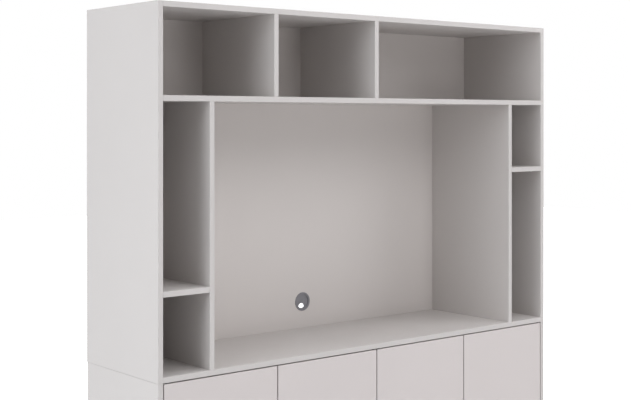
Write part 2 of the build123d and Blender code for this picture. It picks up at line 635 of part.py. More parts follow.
def join_units(boards):
    """Screw the hutch down through the base's top board."""
    out = SIDE_IN - JOINING_FROM_SIDE
    hole_radius = JOINING_RADIUS + FITTING_CLEARANCE
    for x in (-out, -JOINING_FROM_SIDE, JOINING_FROM_SIDE, out):
        for y in (CARCASS_FRONT + JOINING_INSET, BASE_BACK - JOINING_INSET):
            head = (x, y, BASE_CEILING - JOINING_HEAD_HEIGHT)
            groups["joining_screws"].append(turned(head, (0, 0, 1), [
                (JOINING_HEAD_HEIGHT, JOINING_HEAD_RADIUS),
                (BOARD + JOINING_IN_HUTCH, JOINING_RADIUS),
            ]))
            hole_depth = BOARD + JOINING_IN_HUTCH + HOLE_END_SPARE
            hole = rod((x, y, BASE_CEILING), (0, 0, 1), hole_depth, hole_radius)
            boards["base_top"] -= hole
            boards["hutch_bottom_board"] -= hole


def add_glides(boards):
    """A nailed glide near each lower corner of the sides, and one under the middle of each plinth."""
    side_x = SIDE_OUT - BOARD / 2
    front_y = FRONT + GLIDE_INSET
    rear_y = BASE_REAR - GLIDE_INSET
    plinth_front_y = FRONT + PLINTH_SETBACK + BOARD / 2
    plinth_rear_y = BASE_BACK - REAR_PLINTH_SETBACK - BOARD / 2
    for name, x, y in (
        ("base_side_left", -side_x, front_y),
        ("base_side_left", -side_x, rear_y),
        ("base_side_right", side_x, front_y),
        ("base_side_right", side_x, rear_y),
        ("plinth_front", 0, plinth_front_y),
        ("plinth_rear", 0, plinth_rear_y),
    ):
        foot = Pos(x, y, 0) * Cylinder(GLIDE_RADIUS, GLIDE_HEIGHT, align=CENTRE_TO_MIN)
        foot = fillet(foot.edges().group_by(Axis.Z)[0], GLIDE_EDGE_RADIUS)
        groups["glides"].append(foot + rod((x, y, GLIDE_HEIGHT), (0, 0, 1), GLIDE_STEM, GLIDE_STEM_RADIUS))
        boards[name] -= rod((x, y, GLIDE_HEIGHT), (0, 0, 1), GLIDE_STEM + HOLE_END_SPARE,
                            GLIDE_STEM_RADIUS + FITTING_CLEARANCE)


def add_wall_brackets(boards):
    """Two bent steel angles on the hutch's top, each screwed down and holed for a screw into the wall."""
    for x in (-SIDE_OUT + BRACKET_FROM_SIDE, SIDE_OUT - BRACKET_FROM_SIDE):
        section = make_face(Polyline(
            (HUTCH_REAR - BRACKET_LEAF, TOP),
            (HUTCH_REAR, TOP),
            (HUTCH_REAR, TOP + BRACKET_RISE),
            (HUTCH_REAR - BRACKET_STEEL, TOP + BRACKET_RISE),
            (HUTCH_REAR - BRACKET_STEEL, TOP + BRACKET_STEEL),
            (HUTCH_REAR - BRACKET_LEAF, TOP + BRACKET_STEEL),
            close=True,
        ))
        across = Plane(origin=(x - BRACKET_WIDTH / 2, 0, 0), x_dir=(0, 1, 0), z_dir=(1, 0, 0))
        bracket = extrude(across * section, BRACKET_WIDTH)
        outer_bend = bracket.edges().filter_by(Axis.X).group_by(Axis.Y)[-1].sort_by(Axis.Z)[0]
        bracket = fillet(outer_bend, BRACKET_BEND_RADIUS)
        corners = bracket.edges().filter_by(Axis.Y).group_by(Axis.Z)[-1]
        bracket = fillet(corners, BRACKET_CORNER)
        hole_z = TOP + (BRACKET_STEEL + BRACKET_RISE) / 2
        bracket -= rod((x, HUTCH_REAR - OVERRUN, hole_z), (0, 1, 0), 2 * OVERRUN, BRACKET_HOLE_RADIUS)
        for screw_x in (x - BRACKET_SCREW_SPACING / 2, x + BRACKET_SCREW_SPACING / 2):
            head = (screw_x, HUTCH_REAR - BRACKET_LEAF / 2, TOP + BRACKET_STEEL)
            groups["wall_bracket_screws"].append(screw(head, (0, 0, -1)))
            hole = screw_hole(head, (0, 0, -1))
            bracket -= hole
            boards["hutch_top"] -= hole
        groups["wall_brackets"].append(bracket)


def main():
    """Build every piece, then write one file for each and one for each group of like fittings."""
    pieces = {}
    pieces.update(hutch())
    pieces.update(hutch_backs())
    pieces.update(grommet())
    pieces.update(base())
    pieces.update(doors(pieces))
    join_units(pieces)
    add_glides(pieces)
    add_wall_brackets(pieces)
    for name, solids in groups.items():
        pieces[name] = Compound(children=solids)
    os.makedirs("parts", exist_ok=True)
    for name, shape in pieces.items():
        export_step(shape, f"parts/{name}.step")


main()
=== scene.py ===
# %% [markdown]
# # A wall unit for a television, finished for its picture
#
# The unit is an open hutch on a closed base with four plain doors. Its boards, doors and
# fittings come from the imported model, each in its true place, and this script never moves them.
# What is made here is the rest of the picture: the camera, the finishes, the small metal fittings
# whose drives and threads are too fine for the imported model, and the light.
#
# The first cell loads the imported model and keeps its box, because the finished piece may not
# grow past it.

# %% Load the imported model
import json
import math

import bpy
from mathutils import Matrix, Quaternion, Vector


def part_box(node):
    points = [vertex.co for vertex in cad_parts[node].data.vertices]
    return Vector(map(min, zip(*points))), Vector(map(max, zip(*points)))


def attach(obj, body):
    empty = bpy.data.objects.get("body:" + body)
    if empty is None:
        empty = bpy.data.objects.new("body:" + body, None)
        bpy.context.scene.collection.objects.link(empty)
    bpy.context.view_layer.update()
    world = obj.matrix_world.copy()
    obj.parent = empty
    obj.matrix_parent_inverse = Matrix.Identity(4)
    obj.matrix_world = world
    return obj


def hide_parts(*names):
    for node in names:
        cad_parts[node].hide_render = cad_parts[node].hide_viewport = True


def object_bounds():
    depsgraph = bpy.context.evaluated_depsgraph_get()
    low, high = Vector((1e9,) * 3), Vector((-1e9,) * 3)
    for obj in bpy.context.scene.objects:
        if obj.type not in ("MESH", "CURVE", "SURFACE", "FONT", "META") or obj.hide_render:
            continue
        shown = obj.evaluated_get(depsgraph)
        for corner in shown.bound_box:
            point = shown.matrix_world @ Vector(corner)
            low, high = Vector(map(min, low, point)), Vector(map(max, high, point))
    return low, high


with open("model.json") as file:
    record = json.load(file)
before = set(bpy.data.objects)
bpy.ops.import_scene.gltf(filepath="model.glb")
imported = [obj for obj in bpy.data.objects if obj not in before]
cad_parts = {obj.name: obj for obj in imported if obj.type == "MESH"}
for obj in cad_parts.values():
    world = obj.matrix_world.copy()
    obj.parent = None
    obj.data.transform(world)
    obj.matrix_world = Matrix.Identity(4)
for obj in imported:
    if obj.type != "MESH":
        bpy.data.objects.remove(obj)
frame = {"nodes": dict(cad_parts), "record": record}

MM = 0.001
packed_low, packed_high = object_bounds()


def rounded(values, digits=4):
    """Numbers short enough to print."""
    return [round(value, digits) for value in values]


print("packed box in metres:", rounded(packed_low), rounded(packed_high))

# %% [markdown]
# ## The camera
#
# The picture shows the unit from its left, at about head height, with every upright edge truly
# upright. A camera that looks down would make the uprights lean, so this one stays level and its
# lens is shifted, as a view camera's is. The place, the turn and the lens were fitted so that the
# edges of the hutch fall on the edges in the photograph.

# %% Set the camera
PICTURE_WIDTH = 631
PICTURE_HEIGHT = 400
SENSOR_MM = 36.0
LENS_PIXELS = 1203.19
HORIZON_PIXEL = 119.05
EYE = Vector((-2.8566, -3.3520, 1.3875))
LEVEL_DEGREES = 90
TURN_DEGREES = 39.462

camera_data = bpy.data.cameras.new("picture_camera")
camera_data.sensor_fit = "HORIZONTAL"
camera_data.sensor_width = SENSOR_MM
camera_data.lens = LENS_PIXELS * SENSOR_MM / PICTURE_WIDTH
camera_data.shift_y = (HORIZON_PIXEL - PICTURE_HEIGHT / 2) / PICTURE_WIDTH
camera = bpy.data.objects.new("picture_camera", camera_data)
camera.location = EYE
camera.rotation_euler = (math.radians(LEVEL_DEGREES), 0, -math.radians(TURN_DEGREES))
bpy.context.scene.collection.objects.link(camera)
bpy.context.scene.camera = camera
bpy.context.scene.view_settings.view_transform = "Standard"
print("lens", round(camera_data.lens, 2), "mm, shift", round(camera_data.shift_y, 4))

# %% [markdown]
# ## Wiring nodes by name
#
# A finish is a tree of shader nodes. Wired one by one, each node takes several lines, and what the
# tree does gets lost among them. A few small helpers keep it readable: one feeds a socket, one
# adds a node with its settings and inputs, and the others each do one sum, one blend or one change
# of range.

# %% Feed sockets and add nodes
def feed(tree, value, socket):
    """Give a socket a plain value, or link it to another node's output."""
    if isinstance(value, bpy.types.NodeSocket):
        tree.links.new(value, socket)
    else:
        socket.default_value = value


def add_node(tree, kind, inputs=None, **settings):
    """Add a node with these settings, and feed its inputs by name or number."""
    made = tree.nodes.new(kind)
    for key, value in settings.items():
        setattr(made, key, value)
    for key, value in (inputs or {}).items():
        feed(tree, value, made.inputs[key])
    return made


print("ready: feed, add_node")

# %% Sums on numbers and vectors
def work_out(tree, operation, *values):
    """One sum on up to three numbers."""
    return add_node(tree, "ShaderNodeMath", dict(enumerate(values)), operation=operation).outputs[0]


def smallest(tree, first, *others):
    """The smallest of several numbers."""
    for other in others:
        first = work_out(tree, "MINIMUM", first, other)
    return first


def vector_sum(tree, operation, first, second=(0, 0, 0)):
    """One sum on vectors."""
    inputs = {0: first, 1: second}
    return add_node(tree, "ShaderNodeVectorMath", inputs, operation=operation).outputs[0]


def how_far(tree, first, second=(0, 0, 0)):
    """How far apart two points are."""
    inputs = {0: first, 1: second}
    return add_node(tree, "ShaderNodeVectorMath", inputs, operation="DISTANCE").outputs["Value"]


print("ready: work_out, smallest, vector_sum, how_far")

# %% Blends, ranges and clouds
MIX_SHARE = 0
MIX_NUMBERS, MIX_NUMBER_OUT = (2, 3), 0
MIX_COLOURS, MIX_COLOUR_OUT = (6, 7), 2
CLOUD_LOW, CLOUD_HIGH = 0.3, 0.7


def blend_number(tree, share, first, second):
    """Mix two numbers. The share is how much of the second there is."""
    inputs = dict(zip((MIX_SHARE, *MIX_NUMBERS), (share, first, second)))
    return add_node(tree, "ShaderNodeMix", inputs).outputs[MIX_NUMBER_OUT]


def blend_colour(tree, share, first, second, way="MIX"):
    """Mix two colours. The share is how much of the second there is."""
    inputs = dict(zip((MIX_SHARE, *MIX_COLOURS), (share, first, second)))
    made = add_node(tree, "ShaderNodeMix", inputs, data_type="RGBA", blend_type=way)
    return made.outputs[MIX_COLOUR_OUT]


def ramp_between(tree, value, low, high, bottom=0.0, top=1.0):
    """Turn the range from low to high into the range from bottom to top, clamped."""
    made = add_node(tree, "ShaderNodeMapRange", {"Value": value, "From Min": low, "From Max": high,
                                                 "To Min": bottom, "To Max": top}, clamp=True)
    return made.outputs["Result"]


def fade_out(tree, value, low, high):
    """One up to low, nought past high, and evenly down between them."""
    return ramp_between(tree, value, low, high, 1.0, 0.0)


def cloud(tree, place, scale, detail=2.0, roughness=0.5):
    """A cloudy noise whose scale is in waves to the metre."""
    made = add_node(tree, "ShaderNodeTexNoise", {"Vector": place, "Scale": scale, "Detail": detail,
                                                 "Roughness": roughness})
    return made.outputs["Fac"]


def swing(tree, clouds, bottom, top):
    """Turn the range that a cloudy noise mostly keeps to into the range from bottom to top."""
    return ramp_between(tree, clouds, CLOUD_LOW, CLOUD_HIGH, bottom, top)


print("ready: blend_number, blend_colour, ramp_between, fade_out, cloud, swing")

# %% Node groups
NUMBER = "NodeSocketFloat"
VECTOR = "NodeSocketVector"
COLOUR = "NodeSocketColor"


def start_group(name, takes, gives):
    """A shader node group with named inputs and outputs."""
    tree = bpy.data.node_groups.new(name, "ShaderNodeTree")
    for label, kind in takes:
        tree.interface.new_socket(name=label, in_out="INPUT", socket_type=kind)
    for label, kind in gives:
        tree.interface.new_socket(name=label, in_out="OUTPUT", socket_type=kind)
    return tree, tree.nodes.new("NodeGroupInput").outputs, tree.nodes.new("NodeGroupOutput").inputs


def use_group(tree, group, inputs):
    """Place a group in a material with its own values."""
    made = tree.nodes.new("ShaderNodeGroup")
    made.node_tree = group
    for key, value in inputs.items():
        feed(tree, value, made.inputs[key])
    return made.outputs


print("ready: start_group, use_group")

# %% [markdown]
# ## Where on a board a point is
#
# A faced board isn't the same all over. Its broad faces have a printed and pressed skin, its
# edges have a glued band 1 mm thick, and wherever it is drilled or grooved the raw chipboard
# shows. Each could be a finish of its own, put on by hand face by face. But all of them can be told
# from a point's distance to the board's six faces, so one group works those out from the board's
# centre and half size, and every board's finish uses it.

# %% The group that finds skin, band and core
BAND_THICKNESS = 1.0 * MM
GLUE_LINE = 0.09 * MM
SKIN_THICKNESS = 0.7 * MM
ARRIS_WIDTH = 2.2 * MM
BAND_FADE = 1.05
SKIN_FADE = 1.3

board_places, taken, given = start_group(
    "board_places",
    [("Place", VECTOR), ("Centre", VECTOR), ("Half Size", VECTOR), ("Thickness Axis", VECTOR)],
    [("Core", NUMBER), ("Band", NUMBER), ("Glue Line", NUMBER), ("Arris", NUMBER)],
)
from_centre = vector_sum(board_places, "SUBTRACT", taken["Place"], taken["Centre"])
inside_by = vector_sum(board_places, "SUBTRACT", taken["Half Size"],
                       vector_sum(board_places, "ABSOLUTE", from_centre))
dx, dy, dz = add_node(board_places, "ShaderNodeSeparateXYZ", {0: inside_by}).outputs
nearest = smallest(board_places, dx, dy, dz)
nearer_of_two = work_out(board_places, "MINIMUM", dx, dy)
farther_of_two = work_out(board_places, "MAXIMUM", dx, dy)
second_nearest = work_out(board_places, "MAXIMUM", nearer_of_two,
                          work_out(board_places, "MINIMUM", farther_of_two, dz))

edge_only = vector_sum(board_places, "ADD", inside_by, taken["Thickness Axis"])
to_edges = add_node(board_places, "ShaderNodeSeparateXYZ", {0: edge_only}).outputs
from_edge = smallest(board_places, *to_edges)
off_the_line = work_out(board_places, "ABSOLUTE",
                        work_out(board_places, "SUBTRACT", from_edge, BAND_THICKNESS))
board_masks = {
    "Core": ramp_between(board_places, nearest, SKIN_THICKNESS, SKIN_THICKNESS * SKIN_FADE),
    "Band": fade_out(board_places, from_edge, BAND_THICKNESS, BAND_THICKNESS * BAND_FADE),
    "Glue Line": fade_out(board_places, off_the_line, 0.0, GLUE_LINE),
    "Arris": fade_out(board_places, second_nearest, 0.0, ARRIS_WIDTH),
}
for label, mask in board_masks.items():
    feed(board_places, mask, given[label])
print("board_places has", len(board_places.nodes), "nodes")

# %% [markdown]
# ## The pressed skin
#
# The facing is a printed paper pressed with resin against a textured plate. Close up it has a
# fine pebble, and the print has a hardly visible speckle. Over a whole board the tone drifts by
# about one part in a hundred. Each could be a picture, but a picture repeats and stretches, so
# each is a noise at its real size instead. The group gives a tone to multiply the colour by, a
# change of shine to add to the roughness, and a height for the bump.

# %% The group for the pressed skin
PEBBLES_PER_METRE = 900.0
SPECKLES_PER_METRE = 1500.0
DRIFTS_PER_METRE = 2.4
SMEARS_PER_METRE = 9.6
DRIFT_TONES = (0.985, 1.012)
SPECKLE_TONES = (-0.022, 0.022)
SMEAR_SHINE = (-0.035, 0.045)
SKIN_GIVES = [("Tone", NUMBER), ("Shine", NUMBER), ("Relief", NUMBER)]

pressed_skin, taken, given = start_group("pressed_skin", [("Place", VECTOR)], SKIN_GIVES)
drift = cloud(pressed_skin, taken["Place"], DRIFTS_PER_METRE, detail=3.0)
speckle = cloud(pressed_skin, taken["Place"], SPECKLES_PER_METRE, detail=1.0)
pebble = cloud(pressed_skin, taken["Place"], PEBBLES_PER_METRE, detail=2.0, roughness=0.6)
smear = cloud(pressed_skin, taken["Place"], SMEARS_PER_METRE, detail=4.0, roughness=0.6)
tone = work_out(pressed_skin, "ADD", swing(pressed_skin, drift, *DRIFT_TONES),
                swing(pressed_skin, speckle, *SPECKLE_TONES))
feed(pressed_skin, tone, given["Tone"])
feed(pressed_skin, swing(pressed_skin, smear, *SMEAR_SHINE), given["Shine"])
feed(pressed_skin, pebble, given["Relief"])
print("pressed_skin has", len(pressed_skin.nodes), "nodes")

# %% [markdown]
# ## Raw chipboard
#
# Where a board is drilled or grooved, the chips show. They are flakes of wood two or three
# millimetres across, each of its own tone, with dark fibres between them. A cell pattern is just
# that: each cell takes one random shade, and a finer noise lays the fibres over it.

# %% The group for raw chipboard
CHIPS_PER_METRE = 420.0
FIBRES_PER_METRE = 1680.0
FIBRE_EDGES = (0.35, 0.75)
FIBRE_SHARE = 0.5
PALE_CHIP = (0.55, 0.40, 0.25, 1)
DARK_CHIP = (0.30, 0.19, 0.105, 1)
FIBRE_COLOUR = (0.20, 0.12, 0.06, 1)

chipboard, taken, given = start_group(
    "chipboard", [("Place", VECTOR)], [("Colour", COLOUR), ("Relief", NUMBER)])
chips = add_node(chipboard, "ShaderNodeTexVoronoi",
                 {"Vector": taken["Place"], "Scale": CHIPS_PER_METRE})
chip_shade = add_node(chipboard, "ShaderNodeSeparateColor", {0: chips.outputs["Color"]}).outputs[0]
fibre = cloud(chipboard, taken["Place"], FIBRES_PER_METRE, detail=3.0, roughness=0.7)
fibre_share = ramp_between(chipboard, fibre, *FIBRE_EDGES, 0.0, FIBRE_SHARE)
wood = blend_colour(chipboard, chip_shade, DARK_CHIP, PALE_CHIP)
wood = blend_colour(chipboard, fibre_share, wood, FIBRE_COLOUR)
feed(chipboard, wood, given["Colour"])
feed(chipboard, work_out(chipboard, "ADD", chips.outputs["Distance"], fibre), given["Relief"])
print("chipboard has", len(chipboard.nodes), "nodes")

# %% [markdown]
# ## Hand marks and rubbed edges
#
# Two marks of use, both faint, because the unit in the photograph is nearly new. A door without
# a handle is always pushed at the same place, so a slight shine gathers round that spot and fades
# within a hand's width. And the sharp edges of every board get rubbed and nicked by whatever
# slides over them. The first is a distance to one spot, broken up by a noise. The second is the
# edge mask of board_places, broken up by two.

# %% The group for hand marks
DABS_PER_METRE = 55.0
DAB_EDGES = (0.48, 0.62)

hand_marks, taken, given = start_group(
    "hand_marks", [("Place", VECTOR), ("Spot", VECTOR), ("Reach", NUMBER)], [("Mark", NUMBER)])
away = how_far(hand_marks, taken["Place"], taken["Spot"])
share = work_out(hand_marks, "DIVIDE", away, taken["Reach"])
nearness = work_out(hand_marks, "MAXIMUM", work_out(hand_marks, "SUBTRACT", 1.0, share), 0.0)
dabs = ramp_between(hand_marks, cloud(hand_marks, taken["Place"], DABS_PER_METRE), *DAB_EDGES)
feed(hand_marks, work_out(hand_marks, "MULTIPLY", nearness, dabs), given["Mark"])
print("hand_marks has", len(hand_marks.nodes), "nodes")

# %% The group for rubbed edges
RUBS_PER_METRE = 34.0
RUB_EDGES = (0.46, 0.66)
RUB_SHARE = 0.5
NICKS_PER_METRE = 544.0
NICK_EDGES = (0.62, 0.70)

arris_wear, taken, given = start_group(
    "arris_wear", [("Place", VECTOR), ("Arris", NUMBER), ("Amount", NUMBER)], [("Worn", NUMBER)])
rubs = cloud(arris_wear, taken["Place"], RUBS_PER_METRE, detail=4.0, roughness=0.65)
patches = work_out(arris_wear, "MULTIPLY", ramp_between(arris_wear, rubs, *RUB_EDGES), RUB_SHARE)
nicks = ramp_between(arris_wear, cloud(arris_wear, taken["Place"], NICKS_PER_METRE), *NICK_EDGES)
rubbed = work_out(arris_wear, "MAXIMUM", patches, nicks)
on_the_edge = work_out(arris_wear, "MULTIPLY", rubbed, taken["Arris"])
feed(arris_wear, work_out(arris_wear, "MULTIPLY", on_the_edge, taken["Amount"]), given["Worn"])
print("arris_wear has", len(arris_wear.nodes), "nodes")

# %% [markdown]
# ## Moulded plastic and plated metal
#
# The mould of a plastic part is eroded by sparks, which leaves an even matt grain, and the flow of
# the melt leaves broad clouds. A plated part shows the scratches of the sheet or rod beneath it,
# drawn out one way, and cloudy bloom on top. The scratches are a noise whose space is stretched,
# so that one group serves both sheet and castings with two different stretches.

# %% The group for moulded plastic
FLOWS_PER_METRE = 60.0
FLOW_TONES = (0.94, 1.05)
SPARK_SHINE = (-0.06, 0.08)

moulded_skin, taken, given = start_group(
    "moulded_skin", [("Place", VECTOR), ("Grain", NUMBER)], SKIN_GIVES)
spark = cloud(moulded_skin, taken["Place"], taken["Grain"], detail=2.0, roughness=0.7)
flow = cloud(moulded_skin, taken["Place"], FLOWS_PER_METRE, detail=3.0)
feed(moulded_skin, swing(moulded_skin, flow, *FLOW_TONES), given["Tone"])
feed(moulded_skin, swing(moulded_skin, spark, *SPARK_SHINE), given["Shine"])
feed(moulded_skin, spark, given["Relief"])
print("moulded_skin has", len(moulded_skin.nodes), "nodes")

# %% The group for plated metal
BLOOMS_PER_METRE = 130.0
METAL_TONES = (0.9, 1.06)
SCRATCH_SHINE = (-0.08, 0.1)
BLOOM_SHINE = (-0.04, 0.08)

metal_skin, taken, given = start_group(
    "metal_skin", [("Place", VECTOR), ("Stretch", VECTOR)], SKIN_GIVES)
drawn = vector_sum(metal_skin, "MULTIPLY", taken["Place"], taken["Stretch"])
scratches = cloud(metal_skin, drawn, 1.0, detail=3.0, roughness=0.7)
bloom = cloud(metal_skin, taken["Place"], BLOOMS_PER_METRE, detail=4.0, roughness=0.6)
tone = work_out(metal_skin, "MULTIPLY", swing(metal_skin, scratches, *METAL_TONES),
                swing(metal_skin, bloom, *METAL_TONES))
shine = work_out(metal_skin, "ADD", swing(metal_skin, scratches, *SCRATCH_SHINE),
                 swing(metal_skin, bloom, *BLOOM_SHINE))
feed(metal_skin, tone, given["Tone"])
feed(metal_skin, shine, given["Shine"])
feed(metal_skin, scratches, given["Relief"])
print("metal_skin has", len(metal_skin.nodes), "nodes")

# %% [markdown]
# ## Finishes for boards and doors
#
# Every board gets its own copy of one finish, because board_places needs the board's own box.
# The carcass is a pale warm grey, and the doors are a shade pinker. The pressed pebble is a bump
# of a few hundredths of a millimetre, and the raw chips stand up by less than half a millimetre.

# %% Start a material, lay its bumps and put it on a piece
def new_material(name):
    """A material with its tree, its shader and the piece's own coordinates."""
    material = bpy.data.materials.new(name)
    material.use_nodes = True
    tree = material.node_tree
    shader = tree.nodes["Principled BSDF"]
    place = tree.nodes.new("ShaderNodeTexCoord").outputs["Object"]
    return material, tree, shader, place


def lay_bumps(tree, shader, *bumps):
    """Lay bumps over each other, each a height and how far it reaches, and feed the shader."""
    under = {}
    for height, reach in bumps:
        bump = add_node(tree, "ShaderNodeBump", {"Height": height, "Distance": reach, **under})
        under = {"Normal": bump.outputs["Normal"]}
    feed(tree, under["Normal"], shader.inputs["Normal"])


def give_finish(node_name, material):
    """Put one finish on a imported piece."""
    slots = frame["nodes"][node_name].data.materials
    slots.clear()
    slots.append(material)


print("ready: new_material, lay_bumps, give_finish")

# %% The finish of one board
BAND_SHADE = 0.90
GLUE_COLOUR = (0.30, 0.27, 0.25, 1)
GLUE_SHARE = 0.35
RUBBED_COLOUR = (0.36, 0.33, 0.31, 1)
RUBBED_AMOUNT = 0.22
RUBBED_POLISH = 0.5
PUSHED_COLOUR = (0.42, 0.38, 0.35, 1)
PUSHED_REACH = 110 * MM
PUSHED_SHARE = 0.05
PUSHED_POLISH = 0.10
SKIN_ROUGHNESS = 0.46
CORE_ROUGHNESS = 0.92
PEBBLE_HEIGHT = 0.03 * MM
CHIP_HEIGHT = 0.4 * MM


def board_box(node_name):
    """A board's centre, half size and the axis that it is thin along."""
    low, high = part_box(node_name)
    size = high - low
    thin = [0.0, 0.0, 0.0]
    thin[min(range(3), key=lambda axis: size[axis])] = 1.0
    return (low + high) / 2, size / 2, thin


def polished(tree, roughness, mask, amount):
    """A roughness taken down where a mask is."""
    return work_out(tree, "SUBTRACT", roughness, work_out(tree, "MULTIPLY", mask, amount))


def faced_board(node_name, colour, push_spot=None):
    """The finish of one faced board, banded on its edges and raw where it is cut."""
    material, tree, shader, place = new_material(f"faced_{node_name}")
    centre, half, thin = board_box(node_name)
    places = use_group(tree, board_places, {"Place": place, "Centre": centre, "Half Size": half,
                                            "Thickness Axis": thin})
    skin = use_group(tree, pressed_skin, {"Place": place})
    chips = use_group(tree, chipboard, {"Place": place})
    band_colour = tuple(part * BAND_SHADE for part in colour[:3]) + (1,)
    facing = blend_colour(tree, places["Band"], colour, band_colour)
    facing = blend_colour(tree, 1.0, facing, skin["Tone"], "MULTIPLY")
    glue = work_out(tree, "MULTIPLY", places["Glue Line"], GLUE_SHARE)
    facing = blend_colour(tree, glue, facing, GLUE_COLOUR)
    roughness = work_out(tree, "ADD", skin["Shine"], SKIN_ROUGHNESS)
    worn = use_group(tree, arris_wear, {"Place": place, "Arris": places["Arris"],
                                        "Amount": RUBBED_AMOUNT})["Worn"]
    facing = blend_colour(tree, worn, facing, RUBBED_COLOUR)
    roughness = polished(tree, roughness, worn, RUBBED_POLISH)
    if push_spot is not None:
        mark = use_group(tree, hand_marks, {"Place": place, "Spot": push_spot,
                                            "Reach": PUSHED_REACH})["Mark"]
        pushed = work_out(tree, "MULTIPLY", mark, PUSHED_SHARE)
        facing = blend_colour(tree, pushed, facing, PUSHED_COLOUR)
        roughness = polished(tree, roughness, mark, PUSHED_POLISH)
    facing = blend_colour(tree, places["Core"], facing, chips["Colour"])
    roughness = blend_number(tree, places["Core"], roughness, CORE_ROUGHNESS)
    feed(tree, facing, shader.inputs["Base Color"])
    feed(tree, roughness, shader.inputs["Roughness"])
    chip_relief = work_out(tree, "MULTIPLY", chips["Relief"], places["Core"])
    lay_bumps(tree, shader, (skin["Relief"], PEBBLE_HEIGHT), (chip_relief, CHIP_HEIGHT))
    return material


print("ready: board_box, polished, faced_board")

# %% Give every board its finish
CARCASS_COLOUR = (0.552, 0.523, 0.505, 1)
DOOR_COLOUR = (0.541, 0.498, 0.484, 1)
PANEL_COLOUR = (0.560, 0.521, 0.498, 1)
PUSH_DROP = 45 * MM

slot_of = {part["node"]: part["material_slot"] for part in frame["record"]["subparts"]}
for name, slot_name in slot_of.items():
    if slot_name == "carcass_laminate":
        give_finish(name, faced_board(name, CARCASS_COLOUR))
    elif slot_name == "back_panel_laminate":
        give_finish(name, faced_board(name, PANEL_COLOUR))
    elif slot_name == "door_laminate":
        low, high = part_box(name)
        latch_low, latch_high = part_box(name.replace("door", "latch_plunger"))
        push_spot = ((latch_low.x + latch_high.x) / 2, low.y, high.z - PUSH_DROP)
        give_finish(name, faced_board(name, DOOR_COLOUR, push_spot))
print(sum(1 for m in bpy.data.materials if m.name.startswith("faced_")), "board finishes")

# %% [markdown]
# ## Finishes for the fittings
#
# The cable grommet is a mid grey moulding with a fine sparked grain, and the latches are a paler
# plastic. Brackets, pegs and screws are zinc plated steel, and the cam locks are cast zinc, which
# is duller. The dowels are beech, with the grain along them.
#
# The eye of a pivot plate stands in the open gap over a door, and the photograph shows that gap
# dark from end to end. Bright metal there would break the line, so the steel plates and the plastic
# bushes below them are coloured nearly black. This is painted shade for the shade in the gap.

# %% Plastic, metal and wood
MOULDED_RELIEF = 0.04 * MM
SHEET_STRETCH = (90.0, 2200.0, 2200.0)
SHEET_RELIEF = 0.02 * MM
CAST_STRETCH = (700.0, 700.0, 700.0)
CAST_RELIEF = 0.05 * MM
BEECH_STRETCH = (900.0, 900.0, 120.0)
BEECH_RELIEF = 0.05 * MM
PALE_BEECH = (0.58, 0.40, 0.25, 1)
DARK_BEECH = (0.40, 0.25, 0.14, 1)
FLECK_EDGES = (0.35, 0.7)
BEECH_ROUGHNESS = (0.6, 0.75)


def put_on_skin(tree, shader, skin, colour, roughness, relief):
    """Feed a shader from the tone, the shine and the relief of a skin."""
    toned = blend_colour(tree, 1.0, colour, skin["Tone"], "MULTIPLY")
    feed(tree, toned, shader.inputs["Base Color"])
    feed(tree, work_out(tree, "ADD", skin["Shine"], roughness), shader.inputs["Roughness"])
    lay_bumps(tree, shader, (skin["Relief"], relief))


def moulded_plastic(name, colour, roughness, grain):
    """A moulded plastic with a sparked grain, in grains to the metre."""
    material, tree, shader, place = new_material(name)
    skin = use_group(tree, moulded_skin, {"Place": place, "Grain": grain})
    put_on_skin(tree, shader, skin, colour, roughness, MOULDED_RELIEF)
    return material


def plated_metal(name, colour, roughness, stretch=SHEET_STRETCH, relief=SHEET_RELIEF):
    """A metal whose fine scratches run across the stretched axes."""
    material, tree, shader, place = new_material(name)
    skin = use_group(tree, metal_skin, {"Place": place, "Stretch": stretch})
    put_on_skin(tree, shader, skin, colour, roughness, relief)
    shader.inputs["Metallic"].default_value = 1.0
    return material


def beech_wood(name):
    """Beech with its short dark flecks."""
    material, tree, shader, place = new_material(name)
    along = vector_sum(tree, "MULTIPLY", place, BEECH_STRETCH)
    flecks = ramp_between(tree, cloud(tree, along, 1.0, detail=3.0, roughness=0.6), *FLECK_EDGES)
    feed(tree, blend_colour(tree, flecks, PALE_BEECH, DARK_BEECH), shader.inputs["Base Color"])
    feed(tree, ramp_between(tree, flecks, 0.0, 1.0, *BEECH_ROUGHNESS), shader.inputs["Roughness"])
    lay_bumps(tree, shader, (flecks, BEECH_RELIEF))
    return material


print("ready: put_on_skin, moulded_plastic, plated_metal, beech_wood")

# %% Give the fittings their finishes
GROMMET_GREY = (0.176, 0.171, 0.185, 1)
LATCH_GREY = (0.50, 0.50, 0.49, 1)
# painted shade: the bushes are nearly black so that the gap over the doors stays as dark as its shade
BUSH_PAINTED_SHADE = (0.075, 0.075, 0.078, 1)
ZINC_GREY = (0.46, 0.46, 0.47, 1)
STEEL_GREY = (0.42, 0.42, 0.415, 1)
# painted shade: the pivot plates are a nearly black steel so that the gap over the doors stays as
# dark as its shade
PLATE_PAINTED_SHADE = (0.075, 0.072, 0.070, 1)

finishes = {
    "grommet_plastic": moulded_plastic("grommet_grey", GROMMET_GREY, roughness=0.45, grain=2200.0),
    "latch_plastic": moulded_plastic("latch_grey", LATCH_GREY, roughness=0.42, grain=1800.0),
    "bush_plastic": moulded_plastic("bush_painted_shade", BUSH_PAINTED_SHADE, roughness=0.42, grain=1800.0),
    "zinc": plated_metal("cast_zinc", ZINC_GREY, 0.42, CAST_STRETCH, CAST_RELIEF),
    "steel": plated_metal("plated_steel", STEEL_GREY, roughness=0.36),
    "beech": beech_wood("beech"),
}
